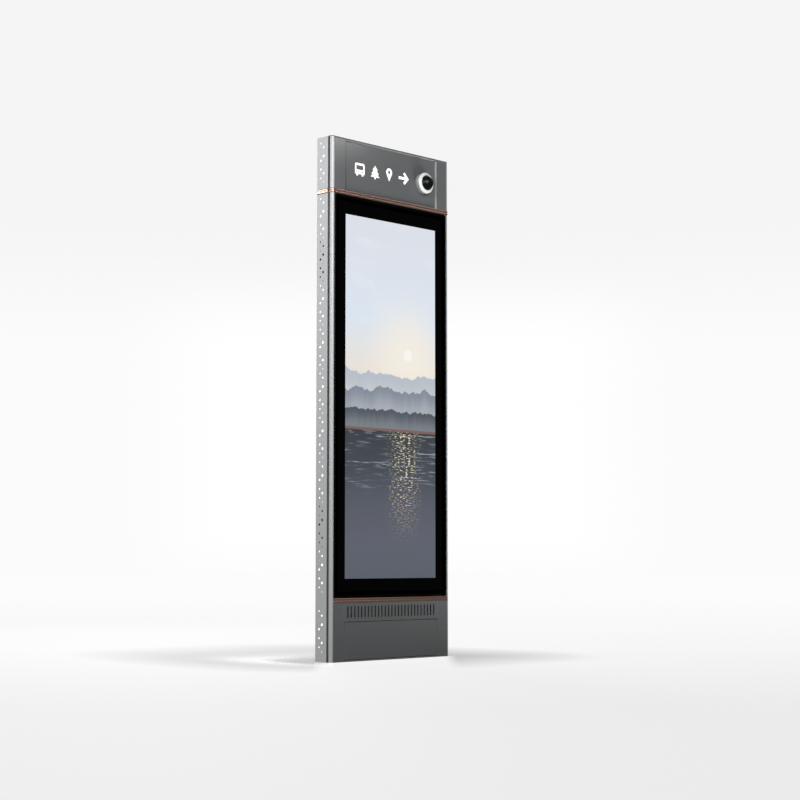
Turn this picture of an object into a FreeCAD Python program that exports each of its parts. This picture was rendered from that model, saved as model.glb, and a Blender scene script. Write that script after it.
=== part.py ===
import FreeCAD, Part
import math
import os
import re

from FreeCAD import Placement, Rotation, Vector
import Sketcher

os.makedirs("parts", exist_ok=True)
document = FreeCAD.newDocument("advertising_screen")

# Driving dimensions in millimetres and degrees.
# The origin is on the underside of the base plate, at the middle of the cabinet.
# +Z is up, the screen looks along -Y and +X is to the right of a person facing the screen.
SIZES = {
    # Whole cabinet
    "width": 915,
    "depth": 120,
    "height": 2800,
    "skin": 3,
    # Corner columns with the dark channel behind them
    "corner_radius": 17,
    "column_wall": 2.5,
    "column_leg": 4.5,
    "column_leg_depth": 23,
    "channel_width": 17,
    "channel_sheet": 2,
    # Side panels
    "side_front_bend": 1.5,
    "side_back_bend": 5,
    "end_cap_thickness": 6,
    # Lit holes in the side panels, two columns of holes in groups of ten
    "hole_back_edge": 30,
    "hole_columns_apart": 21.4,
    "group_count": 9,
    "head_first_drop": 33,
    "head_last_rise": 41.2,
    "run_first_drop": 24.6,
    "run_last_rise": 58.3,
    "base_first_drop": 41.8,
    "base_last_rise": 54.6,
    "hole_size_one": 10,
    "hole_size_two": 12,
    "hole_size_three": 5.5,
    "hole_size_four": 15,
    "hole_size_five": 13,
    "hole_size_six": 4.6,
    "hole_size_seven": 11.5,
    "hole_size_eight": 13.5,
    "hole_size_nine": 10,
    "hole_size_ten": 7.5,
    # Milky strips that spread the light behind the holes
    "light_sheet": 3,
    "light_reach": 12,
    "light_margin": 12,
    # Base plate, its anchor holes and the cable entry
    "base_thickness": 8,
    "base_front_setback": 1,
    "anchor_hole": 18,
    "anchor_side_edge": 120.5,
    "anchor_front_edge": 36,
    "anchor_back_edge": 17,
    "cable_hole": 60,
    # Steel frame inside
    "post_width": 30,
    "post_depth": 40,
    "tube_wall": 3,
    "rail_height": 24,
    "lower_rail_bottom": 309,
    "top_rail_height": 30,
    # Bead trims
    "trim_height": 24,
    "trim_base": 0.8,
    "trim_proud": 3,
    "trim_gap": 2,
    # Header, from the rail to the top, with a strip on each side of the middle bay
    "header_height": 285.5,
    "strip_width": 80.5,
    "header_recess": 13,
    "cap_thickness": 10,
    "cap_edge": 5,
    # Ventilated panel over the service door
    "vent_bottom": 210,
    "panel_fold": 20,
    "slot_count": 27,
    "slot_side_edge": 28.5,
    "slot_width": 9.5,
    "slot_corner": 2.8,
    "slot_low_edge": 19,
    "slot_high_edge": 18,
    # Service door
    "service_gap": 3,
    "service_bend": 8,
    "service_pin": 6,
    # Screen door with the display behind its glass
    "screen_gap": 6,
    "screen_door_depth": 40,
    "screen_bend": 8,
    "stile_width": 30,
    "glass_border": 10,
    "glass_thickness": 5,
    "screen_pin": 8,
    "pin_length": 9,
    "pin_clearance": 0.3,
    "display_side_edge": 78.5,
    "display_end_edge": 91.5,
    "display_depth": 28,
    "display_air": 0.3,
    "display_rail_height": 60,
    "display_rail_count": 4,
    # Dome camera on the header
    "camera_side_edge": 105.5,
    "camera_drop": 156,
    "camera_barrel": 55.5,
    "camera_barrel_length": 26,
    "camera_ring": 58.5,
    "camera_ring_side": 6,
    "camera_ring_depth": 15,
    "dome_radius": 41.5,
    "dome_rise": 5,
    "dome_bands": 3,
}

sheet = document.addObject("Spreadsheet::Sheet", "sizes")
for row, (size_name, size_value) in enumerate(SIZES.items(), start=1):
    sheet.set(f"A{row}", size_name)
    sheet.set(f"B{row}", str(size_value))
    sheet.setAlias(f"B{row}", size_name)
document.recompute()


def bound(text):
    """Turn an expression on size names into one that points at the sheet."""
    return re.sub(r"\b([a-z][a-z_]*)\b(?!\()", r"sizes.\1", str(text))


def number(text):
    """Give the present value of an expression on size names."""
    value = sheet.evalExpression(bound(text))
    return float(getattr(value, "Value", value))


# Places that several pieces share, as expressions on the sizes
side_face = "(width / 2)"
front_face = "(-depth / 2)"
back_face = "(depth / 2)"
column_inside = f"({side_face} - corner_radius)"
column_back = f"({front_face} + corner_radius)"
channel_back = f"({column_back} + channel_width)"
leg_side = f"({column_inside} + column_leg)"
back_inside = f"({back_face} - skin)"
front_inside = f"({front_face} + skin)"
post_front = f"({back_inside} - post_depth)"
rail_top_low = "(lower_rail_bottom + rail_height)"
rail_top_high = "(height - header_height)"
header_rail_bottom = f"({rail_top_high} - rail_height)"
joint_height = f"({rail_top_high} - rail_height / 2)"
cap_underside = "(height - cap_thickness)"
panel_top = "(height - end_cap_thickness)"
bay_side = f"({column_inside} - strip_width)"
header_face = f"({front_face} + header_recess)"
header_back = f"({header_face} + skin)"
fold_back = f"({front_face} + panel_fold)"


def block(label, across, deep, tall):
    """A rectangular solid between pairs of expressions in X, Y and Z."""
    piece = document.addObject("Part::Box", label)
    spans = zip(("Length", "Width", "Height"), "xyz", (across, deep, tall))
    for side, axis, (low, high) in spans:
        piece.setExpression(side, bound(f"({high}) - ({low})"))
        piece.setExpression(f"Placement.Base.{axis}", bound(low))
    return piece


def rod(label, radius, length, place):
    """An upright round bar whose axis starts at place."""
    piece = document.addObject("Part::Cylinder", label)
    piece.setExpression("Radius", bound(radius))
    piece.setExpression("Height", bound(length))
    for axis, text in zip("xyz", place):
        piece.setExpression(f"Placement.Base.{axis}", bound(text))
    return piece


def joined(label, pieces):
    """One object that holds several solids."""
    whole = document.addObject("Part::MultiFuse", label)
    whole.Shapes = pieces
    return whole


def cut(label, base, *tools):
    """The base with every tool taken out of it."""
    piece = document.addObject("Part::Cut", label)
    piece.Base = base
    piece.Tool = tools[0] if len(tools) == 1 else joined(f"{label}_cutters", list(tools))
    return piece


def route(sketch, corners, arcs=None, closed=False):
    """Draw lines and arcs through corners; corners and arc centres, by side, are expressions."""
    arcs = arcs or {}
    points = [Vector(number(x), number(y), 0) for x, y in corners]
    ends = []
    for side in range(len(points) if closed else len(points) - 1):
        start, finish = points[side], points[(side + 1) % len(points)]
        if side in arcs:
            ends.append(add_arc(sketch, start, finish, corners[side], arcs[side]))
        else:
            line = sketch.addGeometry(Part.LineSegment(start, finish), False)
            ends.append((line, 1, 2))
    for side, (x, y) in enumerate(corners):
        if side < len(ends):
            edge, vertex, _ = ends[side]
        else:
            edge, _, vertex = ends[-1]
        if closed or 0 < side < len(ends):
            before, _, last = ends[side - 1]
            sketch.addConstraint(Sketcher.Constraint("Coincident", before, last, edge, vertex))
        pin(sketch, edge, vertex, (x, y))


def add_arc(sketch, start, finish, corner, middle):
    """Add the arc from start to finish about a centre given as a pair of expressions."""
    centre = Vector(number(middle[0]), number(middle[1]), 0)
    first, second = start - centre, finish - centre
    forward = first.x * second.y - first.y * second.x > 0
    if not forward:
        first, second = second, first
    circle = Part.Circle(centre, Vector(0, 0, 1), first.Length)
    turn = (math.atan2(first.y, first.x), math.atan2(second.y, second.x))
    edge = sketch.addGeometry(Part.ArcOfCircle(circle, *turn), False)
    reach = f"(({corner[0]}) - ({middle[0]}))"
    rise = f"(({corner[1]}) - ({middle[1]}))"
    place = sketch.addConstraint(Sketcher.Constraint("Radius", edge, first.Length))
    tie(sketch, place, f"sqrt({reach} * {reach} + {rise} * {rise})")
    return (edge, 1, 2) if forward else (edge, 2, 1)


def tie(sketch, place, text):
    """Tie one constraint of a sketch to an expression on size names."""
    sketch.setExpression(f"Constraints[{place}]", bound(text))


def pin(sketch, edge, vertex, point):
    """Tie a point of the sketch to a place given as a pair of expressions."""
    for kind, text in zip(("DistanceX", "DistanceY"), point):
        rule = Sketcher.Constraint(kind, -1, 1, edge, vertex, number(text))
        tie(sketch, sketch.addConstraint(rule), text)


def outline(sketch, corners, arcs=None):
    """Draw a closed outline."""
    route(sketch, corners, arcs, closed=True)


def rectangle(low_x, high_x, low_y, high_y):
    """The four corners of a rectangle, for outline."""
    return [(low_x, low_y), (high_x, low_y), (high_x, high_y), (low_x, high_y)]


def circles(sketch, places):
    """Draw circles given as centre and diameter expressions."""
    for x, y, diameter in places:
        centre = Vector(number(x), number(y), 0)
        circle = Part.Circle(centre, Vector(0, 0, 1), number(diameter) / 2)
        edge = sketch.addGeometry(circle, False)
        pin(sketch, edge, 3, (x, y))
        rule = Sketcher.Constraint("Diameter", edge, number(diameter))
        tie(sketch, sketch.addConstraint(rule), diameter)


def sketch_on(body, role, offset="0"):
    """A sketch on one of the body's own origin planes, moved along its normal."""
    sketch = body.newObject("Sketcher::SketchObject", f"{body.Label}_sketch")
    planes = {feature.Role: feature for feature in body.Origin.OriginFeatures}
    sketch.AttachmentSupport = (planes[role], [""])
    sketch.MapMode = "FlatFace"
    sketch.setExpression("AttachmentOffset.Base.z", bound(offset))
    return sketch


def extrusion(label, corners, bottom, top, arcs=None, hollow=None, hollow_arcs=None):
    """An upright length of one section, drawn in plan."""
    body = document.addObject("PartDesign::Body", label)
    section = sketch_on(body, "XY_Plane", bottom)
    outline(section, corners, arcs)
    if hollow:
        outline(section, hollow, hollow_arcs)
    pad = body.newObject("PartDesign::Pad", f"{label}_length")
    pad.Profile = section
    pad.setExpression("Length", bound(f"({top}) - ({bottom})"))
    return body


def pocket(body, role, draw, offset="0", through=True, length=None, reverse=False):
    """Cut a sketch out of the body, right through or to a length."""
    section = sketch_on(body, role, offset)
    draw(section)
    feature = body.newObject("PartDesign::Pocket", f"{body.Label}_pocket")
    feature.Profile = section
    feature.Reversed = reverse
    if through:
        feature.Type = "ThroughAll"
    else:
        feature.setExpression("Length", bound(length))
    return feature


def repeated(body, feature, direction, count, step, reverse=False):
    """Repeat a cut in a straight row along one of the body's own axes."""
    axes = {axis.Role: axis for axis in body.Origin.OriginFeatures}
    row = body.newObject("PartDesign::LinearPattern", f"{body.Label}_row")
    row.Originals = [feature]
    row.Direction = (axes[direction], [""])
    row.Reversed = reverse
    row.setExpression("Length", bound(f"{step} * ({count} - 1)"))
    row.setExpression("Occurrences", bound(count))
    body.Tip = row
    return row


# Base plate: one steel plate with the anchor holes and the opening for the supply cable
def base_plate():
    plan = rectangle(
        f"-{column_inside}", column_inside, f"{front_face} + base_front_setback", back_inside
    )
    body = extrusion("base_plate", plan, "0", "base_thickness")
    anchor_side = f"({column_inside} - anchor_side_edge)"
    front_row = f"({front_face} + anchor_front_edge)"
    back_row = f"({back_inside} - anchor_back_edge)"
    bolts = [
        (f"{sign} * {anchor_side}", row, "anchor_hole")
        for sign in (-1, 1)
        for row in (front_row, back_row)
    ]
    cable = [("0", f"({front_row} + {back_row}) / 2", "cable_hole")]
    pocket(body, "XY_Plane", lambda section: circles(section, bolts + cable), reverse=True)
    return body


# Upright steel tubes at the back corners
def frame_post(label, sign):
    outer_side = f"{sign} * {column_inside}"
    inner_side = f"{sign} * ({column_inside} - post_width)"
    plan = rectangle(inner_side, outer_side, post_front, back_inside)
    core = rectangle(
        f"{inner_side} + {sign} * tube_wall", f"{outer_side} - {sign} * tube_wall",
        f"{post_front} + tube_wall", f"{back_inside} - tube_wall",
    )
    return extrusion(label, plan, "base_thickness", cap_underside, hollow=core)


# Cross rails: flat tubes between the corner columns, in front of the posts
def cross_rail(label, bottom):
    top = f"{bottom} + rail_height"
    span = (f"-{column_inside}", column_inside)
    tube = block(f"{label}_tube", span, (front_face, post_front), (bottom, top))
    core = block(
        f"{label}_core", span,
        (f"{front_face} + tube_wall", f"{post_front} - tube_wall"),
        (f"{bottom} + tube_wall", f"{top} - tube_wall"),
    )
    return cut(label, tube, core)


# Top rail: a tube between the heads of the posts
def top_rail():
    span = (f"-{column_inside} + post_width", f"{column_inside} - post_width")
    bottom = f"{cap_underside} - top_rail_height"
    tube = block("top_rail_tube", span, (post_front, back_inside), (bottom, cap_underside))
    core = block(
        "top_rail_core", span,
        (f"{post_front} + tube_wall", f"{back_inside} - tube_wall"),
        (f"{bottom} + tube_wall", f"{cap_underside} - tube_wall"),
    )
    return cut("top_rail", tube, core)


# Corner columns: quarter-round aluminium sections with one chamber and a leg at the back
def corner_column(label, sign):
    centre = (f"{sign} * {column_inside}", column_back)
    plan = [
        (f"{sign} * {column_inside}", front_face),
        (f"{sign} * {side_face}", column_back),
        (f"{sign} * {leg_side}", column_back),
        (f"{sign} * {leg_side}", f"{column_back} + column_leg_depth"),
        (f"{sign} * {column_inside}", f"{column_back} + column_leg_depth"),
    ]
    web = f"({column_inside} + column_wall)"
    floor = f"({column_back} - column_wall)"
    inner_reach = "(corner_radius - column_wall)"
    edge = f"sqrt({inner_reach} * {inner_reach} - column_wall * column_wall)"
    chamber = [
        (f"{sign} * {web}", f"{column_back} - {edge}"),
        (f"{sign} * ({column_inside} + {edge})", floor),
        (f"{sign} * {web}", floor),
    ]
    return extrusion(label, plan, "0", panel_top, {0: centre}, chamber, {0: centre})


# Dark channels: strips that close the groove between the column and the side panel
def dark_channel(label, sign):
    plan = rectangle(
        f"{sign} * {leg_side}", f"{sign} * ({leg_side} + channel_sheet)",
        column_back, channel_back,
    )
    return extrusion(label, plan, "0", panel_top)


# Side panels: folded sheets with a lip into the groove and a rounded return at the back
def side_section(sign):
    lip = f"{sign} * {leg_side}"
    outer = f"{sign} * {side_face}"
    inner = f"{sign} * ({side_face} - skin)"
    back_end = f"{sign} * {column_inside}"
    corners = [
        (lip, channel_back),
        (f"{outer} - {sign} * side_front_bend", channel_back),
        (outer, f"{channel_back} + side_front_bend"),
        (outer, f"{back_face} - side_back_bend"),
        (f"{outer} - {sign} * side_back_bend", back_face),
        (back_end, back_face),
        (back_end, back_inside),
        (f"{outer} - {sign} * side_back_bend", back_inside),
        (inner, f"{back_face} - side_back_bend"),
        (inner, f"{channel_back} + skin"),
        (lip, f"{channel_back} + skin"),
    ]
    front_centre = (f"{outer} - {sign} * side_front_bend", f"{channel_back} + side_front_bend")
    back_centre = (f"{outer} - {sign} * side_back_bend", f"{back_face} - side_back_bend")
    return corners, {1: front_centre, 3: back_centre, 7: back_centre}


hole_back = "(depth / 2 - hole_back_edge)"
hole_front = f"({hole_back} - hole_columns_apart)"
head_first = "(height - head_first_drop)"
head_last = f"({rail_top_high} + head_last_rise)"
run_first = f"({header_rail_bottom} - run_first_drop)"
run_last = "(lower_rail_bottom + run_last_rise)"
base_first = "(lower_rail_bottom - base_first_drop)"
base_last = "base_last_rise"
group_step = f"(({run_first} - {run_last}) / (group_count - 0.1))"


def hole_group(first, last):
    """Ten six-sided holes from first down to last, by turns in the back and the front column."""
    numerals = ("one", "two", "three", "four", "five", "six", "seven", "eight", "nine", "ten")
    columns = (hole_back, hole_front)
    holes = []
    for place, numeral in enumerate(numerals):
        middle = f"({first} - ({first} - {last}) * {place} / {len(numerals) - 1})"
        reach = f"hole_size_{numeral} / 2"
        holes.append([
            (f"{columns[place % 2]} + {math.cos(turn):.5f} * {reach}",
             f"{middle} + {math.sin(turn):.5f} * {reach}")
            for turn in (math.radians(60 * corner) for corner in range(6))
        ])
    return holes


def punch(body, first, last, sign):
    """Cut a group of holes through one side panel."""
    def draw(section):
        for hole in hole_group(first, last):
            outline(section, hole)
    return pocket(body, "YZ_Plane", draw, reverse=sign > 0)


def side_panel_lower(label, sign):
    corners, arcs = side_section(sign)
    body = extrusion(label, corners, "0", joint_height, arcs)
    run = punch(body, run_first, f"({run_first} - 0.9 * {group_step})", sign)
    repeated(body, run, "Z_Axis", "group_count", group_step, reverse=True)
    punch(body, base_first, base_last, sign)
    return body


def side_panel_upper(label, sign):
    corners, arcs = side_section(sign)
    body = extrusion(label, corners, joint_height, panel_top, arcs)
    punch(body, head_first, head_last, sign)
    return body


# Light strips: milky sheets behind the lit groups; the second and the eighth group stay open
def side_lights(label, sign):
    outer = f"{sign} * ({side_face} - skin)"
    inner = f"{sign} * ({side_face} - skin - light_sheet)"
    across = (outer, inner) if sign < 0 else (inner, outer)
    deep = (f"{hole_front} - light_reach", f"{hole_back} + light_reach")

    def strip(name, first, last):
        tall = (f"{last} - light_margin", f"{first} + light_margin")
        return block(f"{label}_{name}", across, deep, tall)

    def groups(name, high, low):
        first = f"({run_first} - {high} * {group_step})"
        return strip(name, first, f"({run_first} - ({low} + 0.9) * {group_step})")

    return joined(label, [
        strip("head", head_first, head_last),
        groups("upper", "0", "0"),
        groups("middle", "2", "(group_count - 3)"),
        groups("lower", "(group_count - 1)", "(group_count - 1)"),
        strip("base", base_first, base_last),
    ])


# End caps close the column, the channel and the side panel at the top
def end_cap(label, sign):
    inner = f"{sign} * {column_inside}"
    outer = f"{sign} * {side_face}"
    corners = [
        (inner, front_face),
        (outer, column_back),
        (outer, f"{back_face} - side_back_bend"),
        (f"{outer} - {sign} * side_back_bend", back_face),
        (inner, back_face),
    ]
    back_centre = (f"{outer} - {sign} * side_back_bend", f"{back_face} - side_back_bend")
    arcs = {0: (inner, column_back), 2: back_centre}
    return extrusion(label, corners, panel_top, "height", arcs)


# Top cap: a dark plate with a rounded front edge over the header
def top_cap():
    body = document.addObject("PartDesign::Body", "top_cap")
    section = sketch_on(body, "YZ_Plane")
    corners = [
        (f"{front_face} + cap_edge", "height"),
        (front_face, "height - cap_edge"),
        (front_face, cap_underside),
        (back_face, cap_underside),
        (back_face, "height"),
    ]
    outline(section, corners, {0: (f"{front_face} + cap_edge", "height - cap_edge")})
    pad = body.newObject("PartDesign::Pad", "top_cap_length")
    pad.Profile = section
    pad.Midplane = True
    pad.setExpression("Length", bound(f"2 * {column_inside}"))
    return body


# Header: a recessed centre panel between two folded strips
def header_panel():
    return block(
        "header_panel", (f"-{bay_side}", bay_side), (header_face, header_back),
        (rail_top_high, cap_underside),
    )


def folded_strip(label, sign, bottom, top, fold):
    """A face sheet beside the middle bay with a fold that runs back along the bay."""
    bay = f"{sign} * {bay_side}"
    corners = [
        (bay, front_face),
        (f"{sign} * {column_inside}", front_face),
        (f"{sign} * {column_inside}", front_inside),
        (f"{bay} + {sign} * skin", front_inside),
        (f"{bay} + {sign} * skin", fold),
        (bay, fold),
    ]
    return extrusion(label, corners, bottom, top)


# Bead trims: strips with two round beads
def bead_profile(reach, base):
    """The trim's section: reach gives the place at a height above the face it lies on."""
    bead = "((trim_height - trim_gap) / 2)"
    rise = "(trim_proud - trim_base)"
    radius = f"(({bead} * {bead} / 4 + {rise} * {rise}) / (2 * {rise}))"
    sink = f"(trim_proud - {radius})"
    low, high = base, f"({base} + trim_height)"
    corners = [
        (reach("0"), low),
        (reach("trim_base"), low),
        (reach("trim_base"), f"{low} + {bead}"),
        (reach("trim_base"), f"{high} - {bead}"),
        (reach("trim_base"), high),
        (reach("0"), high),
    ]
    arcs = {1: (reach(sink), f"{low} + {bead} / 2"), 3: (reach(sink), f"{high} - {bead} / 2")}
    return corners, arcs


def wrapped_trim(label, base, start_y, path, path_arcs):
    """Sweep the bead section along an open path in plan that starts at the left side face."""
    section = document.addObject("Sketcher::SketchObject", f"{label}_section")
    section.Placement = Placement(Vector(), Rotation(Vector(1, 0, 0), 90))
    section.setExpression("Placement.Base.y", bound(start_y))
    corners, arcs = bead_profile(lambda out: f"(-{side_face} - ({out}))", base)
    outline(section, corners, arcs)
    course = document.addObject("Sketcher::SketchObject", f"{label}_course")
    route(course, path, path_arcs)
    course.setExpression("Placement.Base.z", bound(base))
    sweep = document.addObject("Part::Sweep", label)
    sweep.Sections = [section]
    sweep.Spine = (course, [f"Edge{side + 1}" for side in range(len(path) - 1)])
    sweep.Solid = True
    return sweep


def upper_trim_front():
    path = [
        (f"-{side_face}", column_back),
        (f"-{column_inside}", front_face),
        (column_inside, front_face),
        (side_face, column_back),
    ]
    arcs = {0: (f"-{column_inside}", column_back), 2: (column_inside, column_back)}
    return wrapped_trim("upper_trim_front", header_rail_bottom, column_back, path, arcs)


def upper_trim_rear():
    bend_y = f"({back_face} - side_back_bend)"
    bend_x = f"({side_face} - side_back_bend)"
    start = f"({channel_back} + side_front_bend)"
    path = [
        (f"-{side_face}", start),
        (f"-{side_face}", bend_y),
        (f"-{bend_x}", back_face),
        (bend_x, back_face),
        (side_face, bend_y),
        (side_face, start),
    ]
    arcs = {1: (f"-{bend_x}", bend_y), 3: (bend_x, bend_y)}
    return wrapped_trim("upper_trim_rear", header_rail_bottom, start, path, arcs)


def lower_trim():
    body = document.addObject("PartDesign::Body", "lower_trim")
    section = sketch_on(body, "YZ_Plane")
    corners, arcs = bead_profile(lambda out: f"({front_face} - ({out}))", "lower_rail_bottom")
    outline(section, corners, arcs)
    pad = body.newObject("PartDesign::Pad", "lower_trim_length")
    pad.Profile = section
    pad.Midplane = True
    pad.setExpression("Length", bound(f"2 * {column_inside}"))
    return body


# Vent panel: a folded sheet with a row of upright slots
def vent_panel():
    body = document.addObject("PartDesign::Body", "vent_panel")
    section = sketch_on(body, "YZ_Plane")
    low, high = "vent_bottom", "lower_rail_bottom"
    corners = [
        (front_face, low),
        (fold_back, low),
        (fold_back, f"{low} + skin"),
        (front_inside, f"{low} + skin"),
        (front_inside, f"{high} - skin"),
        (fold_back, f"{high} - skin"),
        (fold_back, high),
        (front_face, high),
    ]
    outline(section, corners)
    pad = body.newObject("PartDesign::Pad", "vent_panel_length")
    pad.Profile = section
    pad.Midplane = True
    pad.setExpression("Length", bound(f"2 * {bay_side}"))

    first = f"(slot_side_edge - {bay_side})"
    foot, top = "(vent_bottom + slot_low_edge)", "(lower_rail_bottom - slot_high_edge)"
    left, right = f"({first} - slot_width / 2)", f"({first} + slot_width / 2)"
    corners = [
        (left, f"{foot} + slot_corner"),
        (f"{left} + slot_corner", foot),
        (f"{right} - slot_corner", foot),
        (right, f"{foot} + slot_corner"),
        (right, f"{top} - slot_corner"),
        (f"{right} - slot_corner", top),
        (f"{left} + slot_corner", top),
        (left, f"{top} - slot_corner"),
    ]
    slot = pocket(body, "XZ_Plane", lambda section: outline(section, corners), reverse=True)
    pitch = f"(2 * ({bay_side} - slot_side_edge) / (slot_count - 1))"
    repeated(body, slot, "X_Axis", "slot_count", pitch)
    return body


# Service door: a tray of folded sheet that turns on two pins near its left edge
door_side = f"({bay_side} - service_gap)"
door_low = "(base_thickness + service_gap)"
door_high = "(vent_bottom - service_gap)"
service_axis = (f"(-{door_side} + service_bend)", f"({front_face} + service_bend)")


def service_door():
    axis_x, axis_y = service_axis
    corners = [
        (f"-{door_side}", fold_back),
        (f"-{door_side}", axis_y),
        (axis_x, front_face),
        (door_side, front_face),
        (door_side, fold_back),
    ]
    body = extrusion("service_door", corners, door_low, door_high, {1: (axis_x, axis_y)})
    inside = [
        (f"-{door_side} + skin", f"{fold_back} + skin"),
        (f"-{door_side} + skin", axis_y),
        (axis_x, front_inside),
        (f"{door_side} - skin", front_inside),
        (f"{door_side} - skin", f"{fold_back} + skin"),
    ]
    pocket(
        body, "XY_Plane", lambda section: outline(section, inside, {1: (axis_x, axis_y)}),
        offset=f"{door_low} + skin", through=False,
        length=f"{door_high} - {door_low} - 2 * skin", reverse=True,
    )
    bore = [(axis_x, axis_y, "service_pin + 2 * pin_clearance")]
    pocket(
        body, "XY_Plane", lambda section: circles(section, bore), reverse=True,
    )
    return body


def service_pins():
    axis_x, axis_y = service_axis
    reach = "(service_gap + skin + pin_length / 2)"
    radius = "service_pin / 2"
    low = rod("service_pin_low", radius, reach, (axis_x, axis_y, "base_thickness"))
    high = rod("service_pin_high", radius, reach, (axis_x, axis_y, f"vent_bottom - {reach}"))
    return joined("service_pins", [low, high])


# Screen door: a frame round the glass, turning on two pins near its left edge
screen_side = f"({column_inside} - screen_gap)"
screen_low = f"({rail_top_low} + screen_gap)"
screen_high = f"({header_rail_bottom} - screen_gap)"
screen_back = f"({front_face} + screen_door_depth)"
screen_axis = (f"(-{screen_side} + screen_bend)", f"({front_face} + screen_bend)")
opening_side = f"({screen_side} - stile_width)"
glass_back = f"({front_face} + glass_thickness)"
display_front = f"({glass_back} + display_air)"
display_back = f"({display_front} + display_depth)"
display_low = f"({screen_low} + display_end_edge)"
display_high = f"({screen_high} - display_end_edge)"


def screen_door_frame():
    axis_x, axis_y = screen_axis
    corners = [
        (f"-{screen_side}", screen_back),
        (f"-{screen_side}", axis_y),
        (axis_x, front_face),
        (screen_side, front_face),
        (screen_side, screen_back),
    ]
    outer = extrusion(
        "screen_door_outer", corners, screen_low, screen_high, {1: (axis_x, axis_y)}
    )
    opening = block(
        "screen_door_opening", (f"-{opening_side}", opening_side),
        (f"{front_face} - skin", f"{screen_back} + skin"),
        (f"{screen_low} + stile_width", f"{screen_high} - stile_width"),
    )
    rebate = block(
        "screen_door_rebate",
        (f"-{screen_side} + glass_border", f"{screen_side} - glass_border"),
        (f"{front_face} - skin", glass_back),
        (f"{screen_low} + glass_border", f"{screen_high} - glass_border"),
    )
    socket = "(pin_length + pin_clearance)"
    bore = "(screen_pin / 2 + pin_clearance)"
    low = rod(
        "screen_socket_low", bore, f"{socket} + skin", (axis_x, axis_y, f"{screen_low} - skin")
    )
    high = rod(
        "screen_socket_high", bore, f"{socket} + skin",
        (axis_x, axis_y, f"{screen_high} - {socket}"),
    )
    return cut("screen_door_frame", outer, opening, rebate, low, high)


def screen_pins():
    axis_x, axis_y = screen_axis
    reach = "(screen_gap + pin_length)"
    radius = "screen_pin / 2"
    low = rod("screen_pin_low", radius, reach, (axis_x, axis_y, rail_top_low))
    high = rod("screen_pin_high", radius, reach, (axis_x, axis_y, f"{header_rail_bottom} - {reach}"))
    return joined("screen_pins", [low, high])


def screen_glass():
    return block(
        "screen_glass",
        (f"-{screen_side} + glass_border", f"{screen_side} - glass_border"),
        (front_face, glass_back),
        (f"{screen_low} + glass_border", f"{screen_high} - glass_border"),
    )


def display_panel():
    return block(
        "display_panel",
        (f"-{screen_side} + display_side_edge", f"{screen_side} - display_side_edge"),
        (display_front, display_back), (display_low, display_high),
    )


# Display rails: flat bars from stile to stile that carry the display
def display_rails():
    bars = []
    for place in range(int(number("display_rail_count"))):
        share = f"(({place} + 0.5) / display_rail_count)"
        middle = f"({display_low} + {share} * ({display_high} - {display_low}))"
        tall = (f"{middle} - display_rail_height / 2", f"{middle} + display_rail_height / 2")
        across = (f"-{opening_side}", opening_side)
        bars.append(block(f"display_rail_{place}", across, (display_back, screen_back), tall))
    return joined("display_rails", bars)


# Back panels: plain sheets between the returns of the side panels
def back_panel(label, bottom, top):
    across = (f"-{column_inside}", column_inside)
    return block(label, across, (back_inside, back_face), (bottom, top))


# Dome camera: a barrel on the header, a ring that narrows to the front and a dark dome
camera_seat = (f"({bay_side} - camera_side_edge)", header_face, "(height - camera_drop)")
ring_top = "(camera_barrel_length + camera_ring_depth)"


def turned(label, corners):
    """A solid of revolution about the camera's axis; corners are radius and height."""
    body = document.addObject("PartDesign::Body", label)
    section = sketch_on(body, "XZ_Plane")
    outline(section, corners)
    spin = body.newObject("PartDesign::Revolution", f"{label}_spin")
    spin.Profile = section
    planes = {feature.Role: feature for feature in body.Origin.OriginFeatures}
    spin.ReferenceAxis = (planes["Z_Axis"], [""])
    spin.Angle = 360
    body.Placement = Placement(Vector(), Rotation(Vector(1, 0, 0), 90))
    for axis, text in zip("xyz", camera_seat):
        body.setExpression(f"Placement.Base.{axis}", bound(text))
    return body


def camera_housing():
    return turned("camera_housing", rectangle("0", "camera_barrel", "0", "camera_barrel_length"))


def camera_ring():
    inner = "(dome_radius + pin_clearance)"
    return turned("camera_ring", [
        (inner, "camera_barrel_length"),
        ("camera_ring", "camera_barrel_length"),
        ("camera_ring", "camera_barrel_length + camera_ring_side"),
        (inner, ring_top),
    ])


def camera_dome():
    """A short drum with a round top made of a few straight bands."""
    centre = "(camera_barrel_length + dome_rise)"
    bands = int(number("dome_bands"))
    turns = [math.pi / 2 * band / bands for band in range(bands + 1)]
    curve = [
        (f"{math.cos(turn):.5f} * dome_radius", f"{centre} + {math.sin(turn):.5f} * dome_radius")
        for turn in turns
    ]
    drum = [("0", "camera_barrel_length"), ("dome_radius", "camera_barrel_length")]
    return turned("camera_dome", [*drum, *curve])


SIDES = (("left", -1), ("right", 1))

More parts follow.
